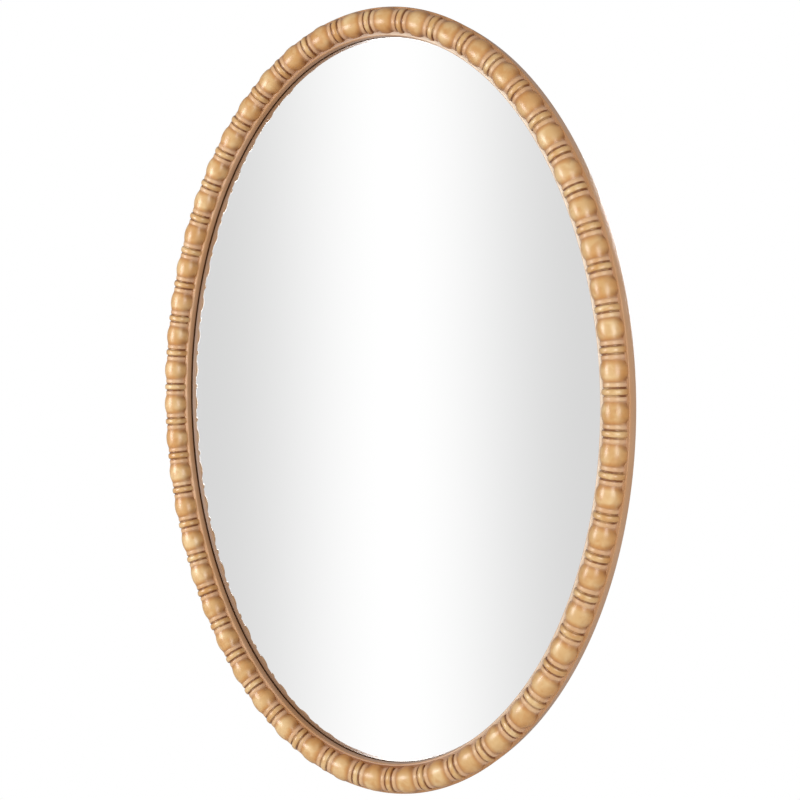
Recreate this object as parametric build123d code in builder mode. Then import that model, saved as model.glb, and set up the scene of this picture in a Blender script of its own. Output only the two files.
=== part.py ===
from build123d import *
from math import cos, hypot, pi, sin
import os

# Oval wall mirror in a bead-and-reel wooden frame.
# Millimetres, +Z up. The mirror faces -Y and the wall is the plane Y = 0.
# The origin is the middle of the oval, on the wall.

# The frame's outline and section
oval_height = 902.0
oval_width = 610.0
oval_steps = 48
frame_width = 33.0
frame_thickness = 20.5
rabbet_width = 8.0
edge_round = 0.8

# What the rabbet holds
glass_thickness = 3.0
board_thickness = 9.5
rabbet_clearance = 0.75

# The bead-and-reel string on the front, and how many beads each length of it has
length_units = [8, 7, 8, 7, 8, 7, 8]
bead_radius = 14.3
bead_crown_half = 6.0
bead_crown_drop = 0.5
bead_end_radius = 12.4
collar_width = 4.8
collar_radius = 12.7
groove_width = 1.9
groove_radius = 11.0
reel_width = 6.2
reel_radius = 14.0
reel_side_radius = 12.4

# The frame's segments and the loose tongues in their joints
segment_count = 6
sector_steps = 4
tongue_length = 26.0
tongue_width = 14.0
tongue_thickness = 4.0
tongue_clearance = 0.1

# Screws with pan heads and a cross drive
screw_radius = 1.5
screw_bite = 9.0
screw_point = 2.5
head_radius = 3.1
head_height = 2.0
head_round = 1.2
drive_length = 3.6
drive_width = 0.8
drive_depth = 1.1
pilot_clearance = 0.05
pass_clearance = 0.2

# Retainer plates that hold the backing board in
retainer_count = 10
retainer_width = 12.0
retainer_thickness = 1.2
retainer_tail = 6.5
retainer_reach = 7.5

# Hangers: a strap and a D-shaped ring on each side
hanger_height = 170.0
strap_width = 10.0
strap_thickness = 1.2
strap_screw_drop = 24.0
strap_tail = 5.0
ring_wire_radius = 1.25
ring_opening = 16.0
ring_corner = 3.0
ring_side = 3.0
ring_clearance = 0.3
knuckle_clearance = 0.05

# Bumpers that hold the frame off the wall
bumper_height = 6.0
bumper_radius = 6.0
bumper_taper = 6.0
bumper_round = 0.8
bumper_share = 0.06

# Distances in front of the wall
frame_back = bumper_height
glass_back = frame_back + board_thickness
rabbet_face = glass_back + glass_thickness
frame_front = frame_back + frame_thickness

# Distances in from the outer edge of the oval
string_inset = frame_width / 2
rabbet_inset = frame_width - rabbet_width
band_inset = rabbet_inset / 2
board_inset = rabbet_inset + rabbet_clearance


def wall_plane(distance):
    """The plane that lies this far in front of the wall and looks to the front."""
    return Plane.XZ.offset(distance)


def oval_point(turn, inset):
    """The point of the oval at an angle clockwise from the top, moved square to the edge by the inset."""
    across = oval_width / 2 * sin(turn)
    up = oval_height / 2 * cos(turn)
    square_across = across / (oval_width / 2) ** 2
    square_up = up / (oval_height / 2) ** 2
    square = hypot(square_across, square_up)
    return (across - inset * square_across / square, up - inset * square_up / square)


def oval_points(inset):
    """Points round that curve, clockwise from the top."""
    return [oval_point(2 * pi * n / oval_steps, inset) for n in range(oval_steps)]


def oval_line(inset, distance):
    """The closed curve that runs clockwise round the oval from the top, at an inset and a distance from the wall."""
    with BuildLine(wall_plane(distance)) as line:
        Spline(*oval_points(inset), periodic=True)
    return line.wire()


def oval_area(inset):
    """The area inside the oval at an inset from its outer edge, to add to a sketch."""
    with BuildSketch() as area:
        with BuildLine():
            Spline(*oval_points(inset), periodic=True)
        make_face()
    return area.sketch


def place_on(line, share, facing=-1):
    """The plane at a share of the way round a line, with x along it and z to the front (or 1: to the wall)."""
    return Plane(origin=line @ (share % 1), x_dir=line % (share % 1), z_dir=(0, facing, 0))


def finish(part, name):
    """Label a finished piece and write its STEP file."""
    part.label = name
    export_step(part, f"parts/{name}.step")


os.makedirs("parts", exist_ok=True)

# ---------------------------------------------------------------- the oval's areas
outer_area = oval_area(0)
sight_area = oval_area(frame_width)
rabbet_area = oval_area(rabbet_inset)
board_area = oval_area(board_inset)

# ---------------------------------------------------------------- places round the oval
string_line = oval_line(string_inset, frame_front)
band_line = oval_line(band_inset, frame_back)

joint_places = [place_on(band_line, (n + 0.5) / segment_count) for n in range(segment_count)]
retainer_places = [place_on(band_line, n / retainer_count, facing=1) for n in range(retainer_count)]
bumper_shares = [bumper_share, 0.5 - bumper_share, 0.5 + bumper_share, 1 - bumper_share]
bumper_places = [place_on(band_line, share, facing=1) for share in bumper_shares]

# The hangers stand where the middle of the back band reaches their height
hanger_rise = hanger_height / (oval_height / 2 - band_inset)
hanger_reach = (oval_width / 2 - band_inset) * (1 - hanger_rise**2) ** 0.5
hanger_sides = {"left": -hanger_reach, "right": hanger_reach}
strap_screw_places = [
    Plane(origin=(x, -frame_back, hanger_height - strap_screw_drop), x_dir=(0, 0, 1), z_dir=(0, 1, 0))
    for x in hanger_sides.values()
]

# ---------------------------------------------------------------- screw, made once
# Its z = 0 is the seat of the head, and its point goes down
with BuildPart() as screw:
    with BuildSketch(Plane.XZ):
        with BuildLine():
            Polyline(
                (0, head_height),
                (head_radius, head_height),
                (head_radius, 0),
                (screw_radius, 0),
                (screw_radius, screw_point - screw_bite),
                (0, -screw_bite),
                close=True,
            )
        make_face()
    revolve(axis=Axis.Z)
    fillet(screw.edges().filter_by(GeomType.CIRCLE).group_by(Axis.Z)[-1], radius=head_round)
    with Locations((0, 0, head_height)):
        Box(drive_length, drive_width, 2 * drive_depth, mode=Mode.SUBTRACT)
        Box(drive_width, drive_length, 2 * drive_depth, mode=Mode.SUBTRACT)

# ---------------------------------------------------------------- wooden frame
with BuildPart() as ring:
    with BuildSketch(wall_plane(rabbet_face)):
        add(outer_area)
        add(sight_area, mode=Mode.SUBTRACT)
    extrude(amount=frame_front - rabbet_face)
    fillet(ring.edges().group_by(Axis.Y)[0], radius=edge_round)
    with BuildSketch(wall_plane(frame_back)):
        add(outer_area)
        add(rabbet_area, mode=Mode.SUBTRACT)
    extrude(amount=rabbet_face - frame_back)
    # Slots for the tongues, halfway through the thickness
    with Locations(*[place.offset(frame_thickness / 2) for place in joint_places]):
        Box(
            tongue_length + 2 * tongue_clearance,
            tongue_width + 2 * tongue_clearance,
            tongue_thickness + 2 * tongue_clearance,
            mode=Mode.SUBTRACT,
        )
    # Pilot holes for the screws
    with Locations(*retainer_places, *strap_screw_places):
        Hole(screw_radius + pilot_clearance, screw_bite)


def sector_corners(n):
    """The corners of an area that holds the ring from joint n - 1 to joint n and crosses it only along those joints."""
    shares = [(n - 0.5 + step / sector_steps) / segment_count for step in range(sector_steps + 1)]
    places = [place_on(band_line, share) for share in shares]
    outside = [place.origin + place.y_dir * frame_width for place in places]
    inside = [place.origin - place.y_dir * frame_width for place in reversed(places)]
    return [(corner.X, corner.Z) for corner in outside + inside]


for n in range(segment_count):
    with BuildPart() as segment:
        add(ring.part)
        with BuildSketch(wall_plane(frame_back)):
            with BuildLine():
                Polyline(*sector_corners(n), close=True)
            make_face()
        extrude(amount=frame_thickness, mode=Mode.INTERSECT)
    finish(segment.part, f"frame_segment_{n + 1}")

for n, place in enumerate(joint_places):
    with BuildPart() as tongue:
        with Locations(place.offset(frame_thickness / 2)):
            Box(tongue_length, tongue_width, tongue_thickness)
    finish(tongue.part, f"joint_tongue_{n + 1}")

# ---------------------------------------------------------------- bead-and-reel string
unit_count = sum(length_units)
unit_pitch = string_line.length / unit_count
collar_end = unit_pitch / 2 - reel_width / 2 - groove_width
bead_half = collar_end - collar_width

# One bead with a collar and half a groove at each end: a half-round lying along x, crown to z
with BuildPart() as bead:
    with BuildSketch(Plane.XY):
        with BuildLine():
            crown = ThreePointArc(
                (-bead_crown_half, bead_radius - bead_crown_drop),
                (0, bead_radius),
                (bead_crown_half, bead_radius - bead_crown_drop),
            )
            TangentArc(crown @ 1, (bead_half, bead_end_radius), tangent=crown % 1)
            TangentArc(crown @ 0, (-bead_half, bead_end_radius), tangent=-(crown % 0))
            for side in (-1, 1):
                ThreePointArc(
                    (side * bead_half, bead_end_radius),
                    (side * (bead_half + collar_width / 2), collar_radius),
                    (side * collar_end, bead_end_radius),
                )
                Polyline(
                    (side * collar_end, bead_end_radius),
                    (side * collar_end, groove_radius),
                    (side * unit_pitch / 2, groove_radius),
                    (side * unit_pitch / 2, 0),
                )
            Line((-unit_pitch / 2, 0), (unit_pitch / 2, 0))
        make_face()
    revolve(axis=Axis.X, revolution_arc=180)

# One reel, the narrow ring between two beads, lying the same way
with BuildPart() as reel:
    with BuildSketch(Plane.XY):
        with BuildLine():
            ThreePointArc((-reel_width / 2, reel_side_radius), (0, reel_radius), (reel_width / 2, reel_side_radius))
            Polyline(
                (reel_width / 2, reel_side_radius),
                (reel_width / 2, 0),
                (-reel_width / 2, 0),
                (-reel_width / 2, reel_side_radius),
            )
        make_face()
    revolve(axis=Axis.X, revolution_arc=180)


def reel_place(n):
    """Where reel n lies: reel 0 is at the top."""
    return place_on(string_line, n / unit_count)


def bead_place(n):
    """Where the bead after reel n lies: along the chord between its reels, halfway out to the curve."""
    chord_start = string_line @ (n / unit_count)
    chord_end = string_line @ ((n + 1) / unit_count)
    middle = string_line @ ((n + 0.5) / unit_count)
    origin = (chord_start + chord_end) / 4 + middle / 2
    return Plane(origin=origin, x_dir=chord_end - chord_start, z_dir=(0, -1, 0))


first_unit = 0
for number, units in enumerate(length_units, start=1):
    own_units = range(first_unit, first_unit + units)
    first_unit += units
    last_reel = reel_place(first_unit % unit_count)
    with BuildPart() as string:
        with Locations(*[bead_place(n) for n in own_units]):
            add(bead.part)
        with Locations(*[reel_place(n) for n in own_units]):
            add(reel.part)
        # The next length's reel starts here
        split(
            bisect_by=Plane(origin=last_reel.origin - last_reel.x_dir * reel_width / 2, z_dir=last_reel.x_dir),
            keep=Keep.BOTTOM,
        )
    finish(string.part, f"bead_string_{number}")

# ---------------------------------------------------------------- glass and its backing
with BuildPart() as glass:
    with BuildSketch(wall_plane(glass_back)):
        add(board_area)
    extrude(amount=glass_thickness)
finish(glass.part, "mirror_glass")

with BuildPart() as board:
    with BuildSketch(wall_plane(frame_back)):
        add(board_area)
    extrude(amount=board_thickness)
finish(board.part, "backing_board")

# ---------------------------------------------------------------- retainer plates
# The plate's y runs inward from the screw, over the board's edge
retainer_nose = board_inset - band_inset + retainer_reach
for n, place in enumerate(retainer_places, start=1):
    with BuildPart() as retainer:
        with BuildSketch(place):
            with Locations((0, (retainer_nose - retainer_tail) / 2)):
                RectangleRounded(retainer_width, retainer_nose + retainer_tail, retainer_width / 2 - 0.5)
            Circle(screw_radius + pass_clearance, mode=Mode.SUBTRACT)
        extrude(amount=retainer_thickness)
    finish(retainer.part, f"retainer_plate_{n}")

with BuildPart() as retainer_screws:
    with Locations(*[place.offset(retainer_thickness) for place in retainer_places]):
        add(screw.part)
finish(retainer_screws.part, "retainer_screws")

# ---------------------------------------------------------------- hangers
knuckle_radius = ring_wire_radius + knuckle_clearance + strap_thickness
ring_lift = strap_thickness + ring_clearance + ring_wire_radius
ring_distance = frame_back - ring_lift
ring_half = ring_opening / 2 + ring_wire_radius
bar_half = ring_half - ring_corner
bow_centre = -ring_corner - ring_side

for side, x in hanger_sides.items():
    # The strap's section, with its knuckle, and then its rounded tail and screw hole
    strap_length = strap_screw_drop + strap_tail
    with BuildPart() as strap:
        with BuildSketch(Plane.YZ.offset(x)):
            with Locations((-ring_distance, hanger_height)):
                Circle(knuckle_radius)
            with Locations((-frame_back, hanger_height)):
                Rectangle(strap_thickness, strap_length, align=(Align.MIN, Align.MAX))
            with Locations((-ring_distance, hanger_height)):
                Circle(ring_wire_radius + knuckle_clearance, mode=Mode.SUBTRACT)
        extrude(amount=strap_width / 2, both=True)
        fillet(
            strap.edges().filter_by(Axis.Y).group_by(Axis.Z)[0],
            radius=strap_width / 2 - 0.5,
        )
        with Locations(Plane(origin=(x, -frame_back, hanger_height - strap_screw_drop), z_dir=(0, 1, 0))):
            Cylinder(screw_radius + pass_clearance, 3 * strap_thickness, mode=Mode.SUBTRACT)
    finish(strap.part, f"hanger_strap_{side}")

    # The ring hangs from its straight bar, which turns in the knuckle
    with BuildPart() as d_ring:
        with BuildLine(Plane(origin=(x, -ring_distance, hanger_height), x_dir=(1, 0, 0), z_dir=(0, -1, 0))) as path:
            Line((-bar_half, 0), (bar_half, 0))
            CenterArc((bar_half, -ring_corner), ring_corner, 90, -90)
            Line((ring_half, -ring_corner), (ring_half, bow_centre))
            CenterArc((0, bow_centre), ring_half, 0, -180)
            Line((-ring_half, bow_centre), (-ring_half, -ring_corner))
            CenterArc((-bar_half, -ring_corner), ring_corner, 180, -90)
        with BuildSketch(path.wire() ^ 0):
            Circle(ring_wire_radius)
        sweep(path=path.wire())
    finish(d_ring.part, f"hanger_ring_{side}")

with BuildPart() as strap_screws:
    with Locations(*[place.offset(strap_thickness) for place in strap_screw_places]):
        add(screw.part)
finish(strap_screws.part, "strap_screws")

# ---------------------------------------------------------------- bumpers
for n, place in enumerate(bumper_places, start=1):
    with BuildPart() as bumper:
        with BuildSketch(place):
            Circle(bumper_radius)
        extrude(amount=bumper_height, taper=bumper_taper)
        fillet(bumper.edges().group_by(Axis.Y)[-1], radius=bumper_round)
    finish(bumper.part, f"wall_bumper_{n}")
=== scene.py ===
from math import radians

import bpy
import numpy as np
from mathutils import Matrix, Vector


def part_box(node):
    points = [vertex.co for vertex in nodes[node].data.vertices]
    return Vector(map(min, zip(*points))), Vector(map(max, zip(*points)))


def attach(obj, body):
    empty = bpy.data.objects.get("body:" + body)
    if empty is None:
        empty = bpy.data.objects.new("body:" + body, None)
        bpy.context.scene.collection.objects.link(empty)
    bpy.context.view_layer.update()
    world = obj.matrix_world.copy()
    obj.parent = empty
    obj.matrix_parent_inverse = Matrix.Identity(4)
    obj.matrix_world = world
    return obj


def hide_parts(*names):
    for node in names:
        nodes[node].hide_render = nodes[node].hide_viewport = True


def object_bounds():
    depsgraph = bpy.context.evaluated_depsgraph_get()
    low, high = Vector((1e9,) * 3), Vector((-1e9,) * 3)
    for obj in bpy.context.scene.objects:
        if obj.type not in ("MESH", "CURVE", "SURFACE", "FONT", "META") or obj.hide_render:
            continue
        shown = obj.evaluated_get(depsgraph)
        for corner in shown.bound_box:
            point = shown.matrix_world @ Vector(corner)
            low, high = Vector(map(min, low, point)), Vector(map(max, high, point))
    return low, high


# Oval wall mirror: a flat wooden ring with a bead-and-reel string on its face.
# Metres, +Z up, the mirror faces -Y and the wall is the plane Y = 0.
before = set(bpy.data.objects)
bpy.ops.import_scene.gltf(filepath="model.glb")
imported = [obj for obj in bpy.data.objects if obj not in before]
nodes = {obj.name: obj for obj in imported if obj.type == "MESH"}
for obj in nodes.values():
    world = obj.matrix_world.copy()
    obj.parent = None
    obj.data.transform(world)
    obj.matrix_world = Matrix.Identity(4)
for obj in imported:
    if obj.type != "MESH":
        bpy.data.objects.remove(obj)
cad_low, cad_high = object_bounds()

MM = 0.001

# ---------------------------------------------------------------- sizes that the frame gives
oval_half_width = cad_high.x
oval_half_height = cad_high.z
front_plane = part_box("frame_segment_1")[0].y
back_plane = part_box("frame_segment_1")[1].y
glass_low, glass_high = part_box("mirror_glass")
glass_inset = oval_half_width - glass_high.x
bead_radius = front_plane - cad_low.y

# ---------------------------------------------------------------- sizes of the ring
frame_width = 33.0 * MM
rabbet_width = 8.0 * MM
outer_round = 1.0 * MM
back_round = 1.0 * MM
lip_round = 1.8 * MM
segment_count = 6
segment_rows = 97
arc_points = 7

# ---------------------------------------------------------------- sizes of the string
# Beads stand between reels, with a groove and a collar each side of a reel. The string spreads a little wider than
# it is tall, and low on its flanks the beads grow rounder and the necks deeper than along its crest.
length_units = [8, 7, 8, 7, 8, 7, 8]
unit_count = sum(length_units)
string_spread = 1.05
string_shift = 0.4 * MM
reel_width = 6.6 * MM
reel_radius = 13.85 * MM
reel_side_radius = 12.3 * MM
groove_width = 1.9 * MM
groove_radius = 11.7 * MM
collar_width = 4.4 * MM
collar_radius = 12.65 * MM
bead_end_radius = 12.3 * MM
bead_foot_share = 0.8
foot_drop = 0.45 * MM
turning_wobble = 0.12 * MM
turning_seed = 53
reel_points = 13
groove_points = 8
collar_points = 9
bead_points = 33
round_steps = 32

# ---------------------------------------------------------------- sizes of the mirror
# The silvering shows through the glass at less than the glass's own thickness, and it runs on a little under the lip.
silver_depth = 1.6 * MM
silver_under_lip = 3.0 * MM
rim_points = 240


# ---------------------------------------------------------------- oval
def oval(turn, inset):
    """A parallel of the oval: the point at an angle clockwise from the top, moved inward along the edge's normal.

    Gives x, z and the outward normal's x and z, as arrays.
    """
    across = np.sin(turn) * oval_half_width
    up = np.cos(turn) * oval_half_height
    normal_across = across / oval_half_width**2
    normal_up = up / oval_half_height**2
    size = np.hypot(normal_across, normal_up)
    normal_across, normal_up = normal_across / size, normal_up / size
    return across - inset * normal_across, up - inset * normal_up, normal_across, normal_up


oval_steps = 20000
turn_table = np.linspace(-np.pi, 3 * np.pi, 2 * oval_steps + 1)


def turn_at(distance, inset):
    """The angle that lies at a distance along the parallel from the top: its running length, read backwards."""
    x, z, _, _ = oval(turn_table, inset)
    run = np.concatenate([[0], np.cumsum(np.hypot(np.diff(x), np.diff(z)))])
    run -= np.interp(0, turn_table, run)
    return np.interp(distance, run, turn_table)


def oval_length(inset):
    """The length of the parallel, once round."""
    x, z, _, _ = oval(np.linspace(0, 2 * np.pi, oval_steps), inset)
    return np.hypot(np.diff(x), np.diff(z)).sum()


# ---------------------------------------------------------------- meshes
def band_faces(rows, columns):
    """Four-sided faces over a grid of rows x columns points, each row of which closes on itself."""
    index = np.arange(rows * columns).reshape(rows, columns)
    index = np.hstack([index, index[:, :1]])
    corners = (index[:-1, :-1], index[:-1, 1:], index[1:, 1:], index[1:, :-1])
    return np.stack([corner.ravel() for corner in corners], axis=1)


def fan_faces(ring, centre):
    """Triangles from each step of a ring of points to a centre point."""
    return np.stack([ring, np.roll(ring, -1), np.full(len(ring), centre)], axis=1)


def make_piece(name, points, faces, materials, sharp_angle=50, attributes=None, face_materials=None):
    """A mesh object at the origin from points and lists of faces, with named float values on its points."""
    mesh = bpy.data.meshes.new(name)
    mesh.from_pydata(points.tolist(), [], [face for group in faces for face in group.tolist()])
    mesh.polygons.foreach_set("use_smooth", np.ones(len(mesh.polygons), bool))
    mesh.set_sharp_from_angle(angle=radians(sharp_angle))
    for key, values in (attributes or {}).items():
        mesh.attributes.new(key, "FLOAT", "POINT").data.foreach_set("value", values.astype(np.float32))
    for material in materials:
        mesh.materials.append(material)
    if face_materials is not None:
        mesh.polygons.foreach_set("material_index", face_materials.astype(np.int32))
    mesh.update()
    piece = bpy.data.objects.new(name, mesh)
    bpy.context.scene.collection.objects.link(piece)
    return piece


# ---------------------------------------------------------------- shader helpers
white = (1, 1, 1, 1)


def srgb(red, green, blue):
    """A colour written in 0 to 255 display values, as the linear colour a shader takes."""
    shown = np.array([red, green, blue]) / 255
    linear = np.where(shown <= 0.04045, shown / 12.92, ((shown + 0.055) / 1.055) ** 2.4)
    return (*linear.tolist(), 1.0)


class Nodes:
    """A node tree, and short calls that add to it."""

    def __init__(self, tree):
        self.tree = tree

    def feed(self, socket, value):
        """Link a socket where the value is one too, or set it."""
        if isinstance(value, bpy.types.NodeSocket):
            self.tree.links.new(value, socket)
        else:
            socket.default_value = value

    def node(self, kind, inputs=None, **settings):
        """A node with its settings, and its inputs given as values or as links."""
        made = self.tree.nodes.new(kind)
        for key, value in settings.items():
            setattr(made, key, value)
        for key, value in (inputs or {}).items():
            self.feed(made.inputs[key], value)
        return made

    def maths(self, operation, first, second=0.0):
        """The result of a Math node."""
        return self.node("ShaderNodeMath", {0: first, 1: second}, operation=operation).outputs[0]

    def times(self, first, second):
        return self.maths("MULTIPLY", first, second)


class Shading(Nodes):
    """A new material with a Principled shader, and calls for the patterns that feed it."""

    def __init__(self, name, **settings):
        self.material = bpy.data.materials.new(name)
        self.material.use_nodes = True
        super().__init__(self.material.node_tree)
        self.shader = self.tree.nodes["Principled BSDF"]
        for socket, value in settings.items():
            self.shader.inputs[socket.replace("_", " ")].default_value = value

    def set(self, socket, value):
        """Feed a socket of the Principled shader."""
        self.feed(self.shader.inputs[socket], value)

    def place(self, scale=(1, 1, 1)):
        """Object coordinates, stretched."""
        coordinates = self.node("ShaderNodeTexCoord").outputs["Object"]
        return self.node("ShaderNodeMapping", {"Vector": coordinates, "Scale": scale}).outputs["Vector"]

    def noise(self, scale, detail=3.0, roughness=0.5, stretch=(1, 1, 1), distortion=0.0):
        """Cloudy noise from 0 to 1, with features of about 1 / scale metres."""
        inputs = {
            "Vector": self.place(stretch),
            "Scale": scale,
            "Detail": detail,
            "Roughness": roughness,
            "Distortion": distortion,
        }
        return self.node("ShaderNodeTexNoise", inputs).outputs["Fac"]

    def value(self, name):
        """A float value that the mesh carries on its points."""
        return self.node("ShaderNodeAttribute", attribute_name=name).outputs["Fac"]

    def spread(self, value, low, high, to_low=0.0, to_high=1.0):
        """A value stretched smoothly from one range to another, and kept inside it."""
        inputs = {"Value": value, "From Min": low, "From Max": high, "To Min": to_low, "To Max": to_high}
        return self.node("ShaderNodeMapRange", inputs, interpolation_type="SMOOTHSTEP").outputs["Result"]

    def mix(self, amount, first, second):
        """Two colours mixed by an amount. The node's sockets 0, 6 and 7 are its factor and its two colours."""
        made = self.node("ShaderNodeMix", {0: amount, 6: first, 7: second}, data_type="RGBA")
        return made.outputs[2]

    def bump(self, height, distance):
        """Relief from a height, in metres."""
        made = self.node("ShaderNodeBump", {"Height": height, "Distance": distance, "Strength": 1.0})
        self.set("Normal", made.outputs["Normal"])


# ---------------------------------------------------------------- colours
ochre = srgb(202, 159, 103)
honey = srgb(219, 185, 134)
amber = srgb(188, 126, 58)
wash_beige = srgb(205, 160, 125)
stain_and_shade_brown = srgb(122, 66, 18)
rubbed_and_highlight_cream = srgb(248, 230, 205)
washed_tan = srgb(209, 167, 127)
washed_pale = srgb(218, 179, 145)
bare_gold = srgb(206, 152, 96)
edge_gold = srgb(210, 150, 88)
beech_pale = srgb(214, 184, 142)
beech_fleck = srgb(170, 130, 90)
silver_grey = (0.948, 0.95, 0.948, 1)
silver_pale = (0.952, 0.952, 0.951, 1)
paint_brown = srgb(112, 81, 52)
paint_pale = srgb(128, 94, 63)
board_tan = srgb(186, 154, 116)
board_pale = srgb(196, 165, 128)
fibre_brown = srgb(150, 116, 80)
plate_grey = srgb(206, 204, 198)
screw_yellow = srgb(200, 190, 160)
ring_grey = srgb(214, 213, 210)
dull_grey = srgb(150, 146, 138)
rubber_black = srgb(38, 37, 36)
rubber_grey = srgb(52, 51, 50)
floor_pale = (0.9, 0.9, 0.9, 1)


# ---------------------------------------------------------------- finishes
def bead_wood():
    """Golden staining in soft blotches, a pinkish wash on the collars and low on the flanks, and brown in the grooves
    that is staining and painted shade.
    """
    warm_share = 0.55
    tone_share = 0.35
    wood = Shading("bead_wood", Coat_Weight=0.28, Coat_Roughness=0.28)
    blotches = wood.spread(wood.noise(46, detail=2.0), low=0.4, high=0.6)
    warm = wood.spread(wood.noise(27, distortion=0.6), low=0.45, high=0.68)
    smudges = wood.spread(wood.noise(75, distortion=0.4), low=0.46, high=0.66, to_high=0.45)
    colour = wood.mix(blotches, ochre, honey)
    colour = wood.mix(wood.times(warm, warm_share), colour, amber)
    colour = wood.mix(wood.times(wood.value("tone"), tone_share), colour, honey)
    colour = wood.mix(smudges, colour, amber)
    # Painted shade: amber where the glow value is high, at the beads' ends and along their feet, partly staining too
    colour = wood.mix(wood.value("glow"), colour, amber)
    wash_clouds = wood.spread(wood.noise(60, detail=2.0), low=0.2, high=0.6, to_low=0.55, to_high=1.0)
    wash = wood.times(wood.value("wash"), wash_clouds)
    colour = wood.mix(wash, colour, wash_beige)
    # Brown where the string is stained, and painted shade in its grooves, at reel and collar edges and in the beads'
    # foot corners
    stain_and_shade_clouds = wood.spread(wood.noise(65, detail=2.0), low=0.3, high=0.6, to_low=0.55, to_high=1.15)
    stain_and_shade = wood.times(wood.value("stain_and_shade"), stain_and_shade_clouds)
    wood.set("Base Color", wood.mix(stain_and_shade, colour, stain_and_shade_brown))
    wood.set("Roughness", wood.spread(wash, low=0, high=1, to_low=0.36, to_high=0.6))
    wood.bump(wood.noise(140), 0.12 * MM)
    return wood.material


def frame_wood():
    """The ring: beige wash over tan in soft clouds, gold on its outer edges, and brown where its staining and shade
    value says.

    That is darker along the back edge, and painted shade down the sight wall to the glass, beside the string and on
    the outer edge along the top and bottom. The gold low on the sight wall is painted shade too. The lip is worn
    pale, with a painted highlight that is strongest on the right and towards the top.
    """
    warm_share = 0.5
    wood = Shading("frame_wood", Roughness=0.4, Coat_Weight=0.3, Coat_Roughness=0.28)
    clouds = wood.spread(wood.noise(30), low=0.35, high=0.65)
    warm = wood.spread(wood.noise(14, detail=2.0), low=0.42, high=0.68)
    colour = wood.mix(clouds, washed_tan, washed_pale)
    colour = wood.mix(wood.times(warm, warm_share), colour, bare_gold)
    colour = wood.mix(wood.value("glow"), colour, edge_gold)
    # Brown where the ring is stained, and painted shade down the sight wall, beside the string and along the top and
    # bottom
    colour = wood.mix(wood.value("stain_and_shade"), colour, stain_and_shade_brown)
    # The lip worn pale, with a painted highlight on it that is strongest on the right and towards the top
    rubbed_and_highlight_clouds = wood.spread(wood.noise(90, detail=2.0), low=0.25, high=0.5, to_low=0.7, to_high=1.0)
    rubbed_and_highlight = wood.times(wood.value("rubbed_and_highlight"), rubbed_and_highlight_clouds)
    wood.set("Base Color", wood.mix(rubbed_and_highlight, colour, rubbed_and_highlight_cream))
    wood.bump(wood.noise(160), 0.1 * MM)
    return wood.material


def bare_beech():
    """Pale tongue wood with short upright flecks."""
    fleck_share = 0.4
    wood = Shading("bare_beech", Roughness=0.6)
    flecks = wood.spread(wood.noise(900, detail=2.0, stretch=(1, 1, 0.2)), low=0.5, high=0.75)
    wood.set("Base Color", wood.mix(wood.times(flecks, fleck_share), beech_pale, beech_fleck))
    return wood.material


def silver():
    """Silvering behind clear glass, a trace uneven in its tint."""
    coat = Shading("silver", Metallic=1.0, Roughness=0.0)
    clouds = coat.spread(coat.noise(4, detail=2.0), low=0.35, high=0.65)
    coat.set("Base Color", coat.mix(clouds, silver_grey, silver_pale))
    return coat.material


def mirror_paint():
    """The brown paint that seals the silvering's back and edge."""
    paint = Shading("mirror_paint", Roughness=0.55)
    clouds = paint.spread(paint.noise(60), low=0.3, high=0.7)
    paint.set("Base Color", paint.mix(clouds, paint_brown, paint_pale))
    return paint.material


def fibreboard():
    """Sanded medium-density fibreboard: even light brown with fine fibre specks."""
    board = Shading("fibreboard", Roughness=0.75)
    fibre = board.noise(900, detail=6.0, roughness=0.7)
    clouds = board.spread(board.noise(9), low=0.35, high=0.65)
    specks = board.spread(fibre, low=0.4, high=0.7, to_high=0.45)
    board.set("Base Color", board.mix(specks, board.mix(clouds, board_tan, board_pale), fibre_brown))
    board.bump(fibre, 0.1 * MM)
    return board.material


def plated_steel(name, colour, roughness):
    """Bright plating with faint streaks and dull clouds, which are also the rougher places."""
    dull_roughness = 0.15
    steel = Shading(name, Metallic=1.0)
    clouds = steel.noise(260, detail=4.0, stretch=(1, 1, 3))
    dull = steel.spread(clouds, low=0.35, high=0.7, to_high=0.5)
    steel.set("Base Color", steel.mix(dull, colour, dull_grey))
    steel.set(
        "Roughness",
        steel.spread(clouds, low=0.3, high=0.7, to_low=roughness, to_high=roughness + dull_roughness),
    )
    return steel.material


def bumper_rubber():
    """Matt black rubber with a fine skin."""
    rubber = Shading("bumper_rubber", Roughness=0.75)
    skin = rubber.noise(1800)
    rubber.set("Base Color", rubber.mix(rubber.spread(skin, low=0.3, high=0.7), rubber_black, rubber_grey))
    rubber.bump(skin, 0.05 * MM)
    return rubber.material


# ---------------------------------------------------------------- bead-and-reel string
string_inset = frame_width / 2 - string_shift
unit_pitch = oval_length(string_inset) / unit_count
bead_half = unit_pitch / 2 - reel_width / 2 - groove_width - collar_width
turning = np.random.default_rng(turning_seed)


def ramp(value, start, length):
    """0 up to the start, then straight up to 1 over the length."""
    return np.clip((value - start) / length, 0, 1)


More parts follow.
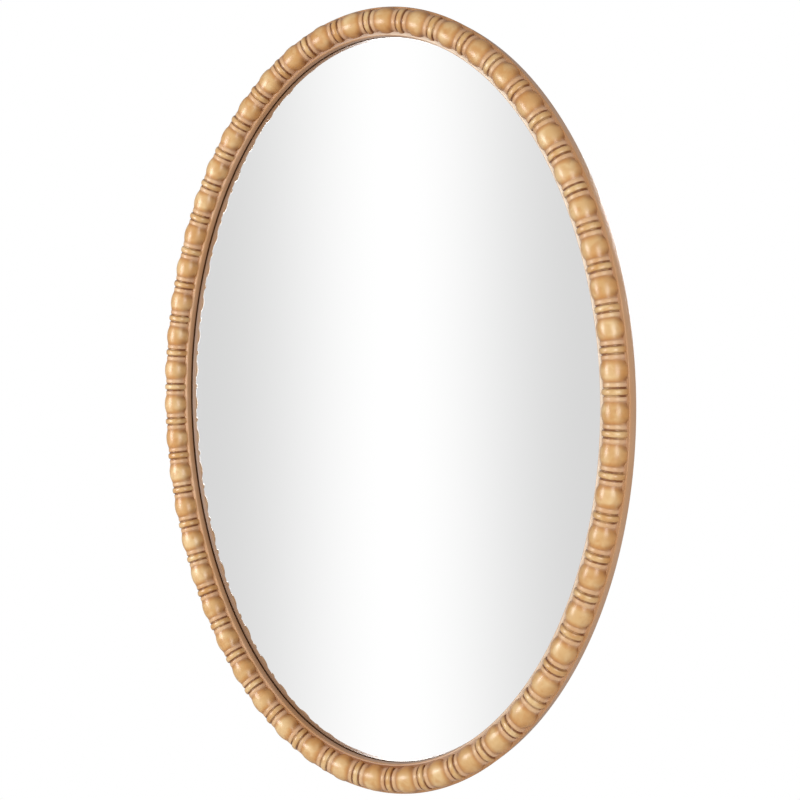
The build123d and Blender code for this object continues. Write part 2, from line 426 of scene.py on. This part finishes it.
def unit_profile():
    """One unit of the string, from a reel's near side to the next reel's, as rows of values along it.

    The rows are the distance, then radius, staining and painted shade, wash and glow at the crest, and the same four
    at the foot. The staining and painted shade darken the reel edges, the grooves, the collar edges, the bead ends
    and the beads' foot corners; the glow is amber that is partly staining and partly painted shade at the feet and
    the bead ends.
    Reels and collars are arcs: a side radius plus a rise times the turn's cosine or sine. Grooves are half ellipses.
    At the crest a bead's radius falls with the square of the distance from its middle. At the foot it is shorter and
    blunter: its rise times (1 less the cube of that distance) to a power.
    """
    reel_foot_rise = 0.85
    reel_edge_power = 5
    collar_edge_power = 4
    collar_edge_stain_and_shade = 0.3
    bead_foot_bluntness = 1.2
    reel_turn = np.linspace(-np.pi / 2, np.pi / 2, reel_points)
    groove_turn = np.linspace(0, np.pi, groove_points)[1:-1]
    collar_turn = np.linspace(0, np.pi, collar_points)
    across = np.linspace(-1, 1, bead_points)[1:-1]
    groove_middle = reel_width / 2 + groove_width / 2
    collar_middle = groove_middle + groove_width / 2 + collar_width / 2

    def zone(distance, radius, stain_and_shade, wash, glow):
        """A stretch of the unit, from its distances and each value's pair for crest and foot."""
        crest, foot = zip(radius, stain_and_shade, wash, glow)
        return np.stack([np.broadcast_to(row, distance.shape) for row in (distance, *crest, *foot)])

    def turned_round(part):
        """The same stretch at the unit's other end."""
        return np.vstack([unit_pitch - part[0][::-1], part[1:, ::-1]])

    # Reels: staining and painted shade at their edges, more at the foot
    reel_rise = (reel_radius - reel_side_radius) * np.cos(reel_turn)
    reel_edge = np.abs(np.sin(reel_turn)) ** reel_edge_power
    reel = zone(
        reel_width / 2 * np.sin(reel_turn),
        radius=(reel_side_radius + reel_rise, reel_side_radius + reel_foot_rise * reel_rise),
        stain_and_shade=(0.7 * reel_edge, 0.15 + 0.75 * reel_edge),
        wash=(0.0, 0.0),
        glow=(0.0, 0.5),
    )
    # Grooves: staining and painted shade in the crease
    groove_dip = (bead_end_radius - groove_radius) * np.sin(groove_turn)
    groove = zone(
        groove_middle - groove_width / 2 * np.cos(groove_turn),
        radius=(bead_end_radius - groove_dip, bead_end_radius - groove_dip - foot_drop / 2),
        stain_and_shade=(0.78, 1.0),
        wash=(0.0, 0.0),
        glow=(0.0, 0.0),
    )
    # Collars: staining and painted shade at their edges beside the groove and the bead
    collar_rise = (collar_radius - bead_end_radius) * np.sin(collar_turn)
    collar_stain_and_shade = collar_edge_stain_and_shade * np.abs(np.cos(collar_turn)) ** collar_edge_power
    collar = zone(
        collar_middle - collar_width / 2 * np.cos(collar_turn),
        radius=(bead_end_radius + collar_rise, bead_end_radius + collar_rise - foot_drop),
        stain_and_shade=(collar_stain_and_shade, collar_stain_and_shade),
        wash=(0.55, 1.0),
        glow=(0.0, 0.0),
    )
    # Beads: staining and painted shade towards their ends and in their foot corners, and amber glow there that is
    # partly painted shade
    bead_rise = bead_radius - bead_end_radius
    far = np.abs(across)
    foot_far = np.clip(far / bead_foot_share, 0, 1)
    foot_rise = (bead_rise + foot_drop) * (1 - foot_far**3) ** bead_foot_bluntness
    foot_stain_and_shade = ramp(far, start=0.25, length=0.4) * (1 - ramp(far, start=0.8, length=0.25))
    bead = zone(
        unit_pitch / 2 + bead_half * across,
        radius=(bead_radius - bead_rise * far**2, bead_end_radius - foot_drop + foot_rise),
        stain_and_shade=(0.3 * ramp(far, start=0.6, length=0.35) ** 2, 0.05 + 0.6 * foot_stain_and_shade),
        wash=(0.6 * far**12, 0.9 * ramp(far, start=0.75, length=0.15)),
        glow=(0.8 * ramp(far, start=0.5, length=0.4), 0.8),
    )
    parts = [reel, groove, collar, bead, turned_round(collar), turned_round(groove)]
    return np.hstack(parts), reel[:, :1]


def moved_on(profile, units):
    """The profile, a number of units further along the string. Only its first row is a distance."""
    shift = np.zeros((len(profile), 1))
    shift[0] = units * unit_pitch
    return profile + shift


def string_piece(name, first_unit, units, material):
    """A length of the string: the unit's profile carried along the oval, as a half-round with a flat back.

    A point lies at the path's point plus radius times (outward normal times spread times cosine + front times sine),
    and its values pass from the crest's to the foot's with the cosine's fourth power. Painted shade makes the flanks
    darker along the top and warmer along the top and bottom, and painted light makes them paler where they face in
    down the sides.
    """
    top_shade = 0.25
    top_bottom_shade = 0.4
    inner_side_light = -0.4
    hair = 1e-7
    unit, unit_start = unit_profile()
    copies = [moved_on(unit, n) for n in range(first_unit, first_unit + units)]
    profile = np.hstack([*copies, moved_on(unit_start, first_unit + units)])
    distance, crest, foot = profile[0], profile[1:5, :, None], profile[5:9, :, None]
    lean = np.linspace(0, np.pi, round_steps + 1)
    foot_share = np.abs(np.cos(lean)) ** 4
    radius, stain_and_shade, wash, glow = crest * (1 - foot_share) + foot * foot_share

    # No two beads are turned quite alike. The hair keeps a unit's first row in that unit.
    unit_at = np.floor((distance + reel_width / 2 + hair) / unit_pitch).astype(int)
    own_tone = turning.uniform(0, 1, unit_count + 2)
    own_size = turning.uniform(-1, 1, unit_count + 2)
    raised = np.clip((radius - bead_end_radius) / (bead_radius - bead_end_radius), 0, 1)
    radius = radius + turning_wobble * (own_size[unit_at] - 1)[:, None] * raised

    x, z, out_x, out_z = (row[:, None] for row in oval(turn_at(distance, string_inset), string_inset))
    # Painted shade on the flanks along the top and bottom, and painted light on the inner flanks down the sides
    inner_share = foot_share * (lean > np.pi / 2)
    stain_and_shade = stain_and_shade + top_shade * foot_share * np.clip(out_z, 0, 1) ** 2
    glow = glow + top_bottom_shade * foot_share * out_z**2 + inner_side_light * inner_share * out_x**2
    reach = radius * string_spread * np.cos(lean)
    points = np.stack([x + reach * out_x, front_plane - radius * np.sin(lean), z + reach * out_z], axis=-1)
    rows, columns = points.shape[:2]
    tone = np.broadcast_to(own_tone[unit_at][:, None], (rows, columns))

    ends = np.stack([points[0].mean(axis=0), points[-1].mean(axis=0)])
    first_ring = np.arange(columns)
    last_ring = first_ring + (rows - 1) * columns
    first_centre, last_centre = rows * columns, rows * columns + 1
    faces = [
        band_faces(rows, columns)[:, ::-1],
        fan_faces(first_ring, first_centre),
        fan_faces(last_ring[::-1], last_centre),
    ]
    values = {"stain_and_shade": stain_and_shade, "wash": wash, "glow": glow, "tone": tone}
    attributes = {key: np.concatenate([grid.ravel(), grid[0, :1], grid[-1, :1]]) for key, grid in values.items()}
    return make_piece(name, np.vstack([points.reshape(-1, 3), ends]), faces, [material], attributes=attributes)


bead_material = bead_wood()
first_unit = 0
for number, units in enumerate(length_units, start=1):
    string = string_piece(f"beads_and_reels_{number}", first_unit, units, bead_material)
    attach(string, "mirror")
    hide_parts(f"bead_string_{number}")
    first_unit += units


# ---------------------------------------------------------------- ring under the string
def ring_section():
    """The ring's closed section from its outer back corner round, as rows: inset, y, staining and painted shade, wear
    and painted highlight, and glow.

    It has quarter circles on its back edge, its outer edge and its inner lip, in that order, then a straight sight
    wall and the rabbet that holds the glass.
    """
    turn = np.linspace(0, np.pi / 2, arc_points)
    rabbet_face = glass_low.y
    rabbet_inset = frame_width - rabbet_width

    def arc(inset, y, stain_and_shade, rubbed_and_highlight, glow):
        """A rounded edge, whose values run straight from one end to the other."""
        return np.stack([inset, y, *(np.linspace(*ends, arc_points) for ends in (stain_and_shade, rubbed_and_highlight, glow))])

    back_edge = arc(
        back_round * (1 - np.sin(turn)),
        back_plane - back_round * (1 - np.cos(turn)),
        stain_and_shade=(0.5, 0.22),
        rubbed_and_highlight=(0, 0),
        glow=(0.2, 0.6),
    )
    outer_edge = arc(
        outer_round * (1 - np.cos(turn)),
        front_plane + outer_round * (1 - np.sin(turn)),
        stain_and_shade=(0.12, 0.28),
        rubbed_and_highlight=(0, 0),
        glow=(0.7, 0.5),
    )
    # The lip carries wear and a painted highlight on its front
    lip = arc(
        frame_width - lip_round * (1 - np.sin(turn)),
        front_plane + lip_round * (1 - np.cos(turn)),
        stain_and_shade=(0, 0.15),
        rubbed_and_highlight=(1, 0),
        glow=(0.35, 0.35),
    )
    # The corners at the foot of the sight wall, in the rabbet and at the rabbet's back edge. Painted shade makes the
    # sight wall darker and more golden towards the glass.
    corners = np.array(
        [
            [frame_width, rabbet_inset, rabbet_inset],
            [rabbet_face, rabbet_face, back_plane],
            [0.6, 0.4, 0.1],
            [0, 0, 0],
            [0.5, 0, 0],
        ]
    )
    return np.hstack([back_edge, outer_edge, lip, corners])


def ring_segment(number, material):
    """A segment of the ring: the section carried along the oval from one glued joint to the next, with flat ends."""
    outer_edge_shade = 0.65
    lip_shade = 0.9
    least_lip_share = 0.3
    rubbed_all_round, highlight_on_right, highlight_on_top = 0.1, 0.8, 0.3
    band_inset = (frame_width - rabbet_width) / 2
    band_length = oval_length(band_inset)
    joint_turns = turn_at((number - 1 + np.array([-0.5, 0.5])) / segment_count * band_length, band_inset)
    inset, y, stain_and_shade, rubbed_and_highlight, glow = ring_section()
    columns = len(inset)
    turn = np.linspace(*joint_turns, segment_rows)[:, None]
    x, z, right, up = oval(turn, inset[None, :])
    points = np.stack([x, np.broadcast_to(y, x.shape), z], axis=-1).reshape(-1, 3)

    # Along the top and bottom, painted shade darkens the outer edge and the lip beside the string. The lip's wear is
    # all round, and its painted highlight is strongest on the right and towards the top.
    on_lip = np.zeros(columns)
    on_lip[2 * arc_points : 3 * arc_points] = 1
    outer_share = np.clip(1 - inset / outer_round, 0, 1)
    lip_share = np.clip((frame_width - inset) / lip_round, least_lip_share, 1) * on_lip
    stain_and_shade = stain_and_shade + (outer_edge_shade * outer_share + lip_shade * lip_share) * up**2
    rubbed_and_highlight = rubbed_and_highlight * np.clip(rubbed_all_round + highlight_on_right * right + highlight_on_top * up, 0, 1)
    ring = np.arange(columns)
    last_ring = ring + (segment_rows - 1) * columns
    return make_piece(
        f"ring_segment_{number}",
        points,
        [band_faces(segment_rows, columns), ring[None, ::-1], last_ring[None, :]],
        [material],
        attributes={"stain_and_shade": stain_and_shade.ravel(), "rubbed_and_highlight": rubbed_and_highlight.ravel(), "glow": np.tile(glow, segment_rows)},
    )


ring_material = frame_wood()
for number in range(1, segment_count + 1):
    segment = ring_segment(number, ring_material)
    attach(segment, "mirror")
    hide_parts(f"frame_segment_{number}")


# ---------------------------------------------------------------- mirror
def mirror_piece():
    """The glass plate: parallels of the oval joined from its face's middle, over its rim, to its back's middle.

    Its face lies where the silvering shows through the glass, and its rim rises to the lip it rests on.
    """
    turn = np.linspace(0, 2 * np.pi, rim_points, endpoint=False)
    face = glass_low.y + silver_depth
    face_inset = frame_width - silver_under_lip
    parallels = [
        (face_inset, face),
        (face_inset, glass_low.y),
        (glass_inset, glass_low.y),
        (glass_inset, glass_high.y),
    ]
    rows = []
    for inset, y in parallels:
        x, z, _, _ = oval(turn, inset)
        rows.append(np.stack([x, np.full(rim_points, y), z], axis=-1))
    middles = np.array([[0, face, 0], [0, glass_high.y, 0]])
    points = np.vstack([*rows, middles])
    face_ring = np.arange(rim_points)
    back_ring = face_ring + (len(parallels) - 1) * rim_points
    face_middle = len(parallels) * rim_points
    faces = [
        fan_faces(face_ring, face_middle)[:, ::-1],
        band_faces(len(parallels), rim_points)[:, ::-1],
        fan_faces(back_ring, face_middle + 1),
    ]
    silvered, painted = 0, 1
    finish = np.full(sum(len(group) for group in faces), painted)
    finish[:rim_points] = silvered
    materials = [silver(), mirror_paint()]
    return make_piece("silvered_glass", points, faces, materials, sharp_angle=20, face_materials=finish)


mirror = mirror_piece()
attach(mirror, "mirror")
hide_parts("mirror_glass")


# ---------------------------------------------------------------- finishes on the pieces kept from the frame
def dress(names, material):
    """Give frame nodes a finish."""
    for name in names:
        mesh = nodes[name].data
        mesh.materials.clear()
        mesh.materials.append(material)


def named(start):
    """The frame nodes whose names start so."""
    return [name for name in nodes if name.startswith(start)]


dress(named("joint_tongue"), bare_beech())
dress(["backing_board"], fibreboard())
dress(named("retainer_plate") + named("hanger_strap"), plated_steel("plated_steel", plate_grey, roughness=0.28))
dress(["retainer_screws", "strap_screws"], plated_steel("screw_steel", screw_yellow, roughness=0.3))
dress(named("hanger_ring"), plated_steel("ring_steel", ring_grey, roughness=0.2))
dress(named("wall_bumper"), bumper_rubber())


# ---------------------------------------------------------------- floor, light and camera
def make_floor():
    """A plain pale floor, as far below the mirror as a wall mirror hangs, that runs out into white."""
    hang_height = 1.5
    half_side = 6.0
    white_from, white_to = 1.2, 2.6
    mesh = bpy.data.meshes.new("floor")
    ways = [(-1, -1), (1, -1), (1, 1), (-1, 1)]
    corners = [(across * half_side, deep * half_side, -hang_height) for across, deep in ways]
    mesh.from_pydata(corners, [], [(0, 1, 2, 3)])
    floor = bpy.data.objects.new("floor", mesh)
    bpy.context.scene.collection.objects.link(floor)
    finish = Shading("floor", Roughness=0.9, Base_Color=floor_pale)
    reach = finish.node("ShaderNodeVectorMath", {0: finish.place((1, 1, 0))}, operation="LENGTH").outputs["Value"]
    far = finish.spread(reach, white_from, white_to)
    seen = finish.node("ShaderNodeLightPath").outputs["Is Camera Ray"]
    glow = finish.node("ShaderNodeEmission", {"Color": white, "Strength": 1.0}).outputs[0]
    lit = finish.shader.outputs[0]
    mixed = finish.node("ShaderNodeMixShader", {0: finish.times(far, seen), 1: lit, 2: glow}).outputs[0]
    finish.feed(finish.tree.nodes["Material Output"].inputs["Surface"], mixed)
    mesh.materials.append(finish.material)
    floor.visible_glossy = False


def make_world():
    """Even light for the surfaces, white behind the object, and an upright soft band for what mirrors it sharply.

    The band's brightness falls off as a half cosine with the bearing from its middle, to an even grey.
    """
    even_light = 0.43
    band_middle = radians(28.9)
    band_half = radians(9.6)
    band_peak = 1.06
    band_depth = 0.32
    world = bpy.data.worlds.new("studio")
    bpy.context.scene.world = world
    world.use_nodes = True
    studio = Nodes(world.node_tree)
    studio.tree.nodes.clear()

    def background(strength):
        """White light of a strength."""
        return studio.node("ShaderNodeBackground", {"Color": white, "Strength": strength}).outputs[0]

    def either(choice, first, second):
        """The first light, or the second where the choice is 1."""
        return studio.node("ShaderNodeMixShader", {0: choice, 1: first, 2: second}).outputs[0]

    direction = studio.node("ShaderNodeTexCoord").outputs["Generated"]
    split = studio.node("ShaderNodeSeparateXYZ", {0: direction}).outputs
    bearing = studio.maths("ARCTAN2", studio.times(split["X"], -1.0), studio.times(split["Y"], -1.0))
    aside = studio.maths("ABSOLUTE", studio.maths("SUBTRACT", bearing, band_middle))
    fall = studio.maths("MINIMUM", studio.maths("DIVIDE", aside, band_half), 1.0)
    wave = studio.maths("COSINE", studio.times(fall, np.pi))
    swing = band_peak * band_depth / 2
    band = studio.maths("ADD", studio.times(wave, swing), band_peak - swing)

    rays = studio.node("ShaderNodeLightPath").outputs
    mirrored = either(rays["Is Singular Ray"], background(even_light), background(band))
    shown = either(rays["Is Camera Ray"], mirrored, background(1.0))
    studio.node("ShaderNodeOutputWorld", {"Surface": shown})


def make_softbox(name, place, size, power):
    """A soft square light that faces the mirror's middle."""
    light = bpy.data.lights.new(name, "AREA")
    light.shape = "RECTANGLE"
    light.size = size
    light.size_y = size
    light.energy = power
    lamp = bpy.data.objects.new(name, light)
    bpy.context.scene.collection.objects.link(lamp)
    lamp.location = place
    lamp.rotation_mode = "QUATERNION"
    lamp.rotation_quaternion = (-Vector(place)).to_track_quat("-Z", "Y")
    lamp.visible_camera = False

    # The lamp lights everything but the silvering, which would show it as a bright patch
    unlit = bpy.data.collections.new(f"{name}_receivers")
    lamp.light_linking.receiver_collection = unlit
    unlit.objects.link(mirror)
    unlit.collection_objects[0].light_linking.link_state = "EXCLUDE"


def make_camera():
    """The camera stands to the mirror's right and looks back at it, level with its middle."""
    place = Vector((0.694, -1.228, 0.059))
    turned_left = radians(28.747)
    tipped_up = radians(0.628)
    rolled = radians(-0.438)
    focal_pixels = 1203.4
    frame_pixels = 800
    lift_pixels = -66.2
    camera = bpy.data.cameras.new("camera")
    camera.sensor_width = 36
    camera.lens = camera.sensor_width * focal_pixels / frame_pixels
    camera.shift_y = lift_pixels / frame_pixels
    camera.clip_start = 0.05
    eye = bpy.data.objects.new("camera", camera)
    bpy.context.scene.collection.objects.link(eye)
    turn = Matrix.Rotation(turned_left, 4, "Z") @ Matrix.Rotation(radians(90) + tipped_up, 4, "X")
    eye.matrix_world = Matrix.Translation(place) @ turn @ Matrix.Rotation(rolled, 4, "Z")
    bpy.context.scene.camera = eye


make_floor()
make_world()
make_softbox("left_softbox", place=(-1.1, -1.35, 0.1), size=0.7, power=19)
make_softbox("right_softbox", place=(1.5, -1.45, 0.1), size=1.0, power=21)
make_softbox("back_softbox", place=(0, 2, 0.4), size=0.6, power=30)
make_camera()
bpy.context.scene.view_settings.view_transform = "Standard"
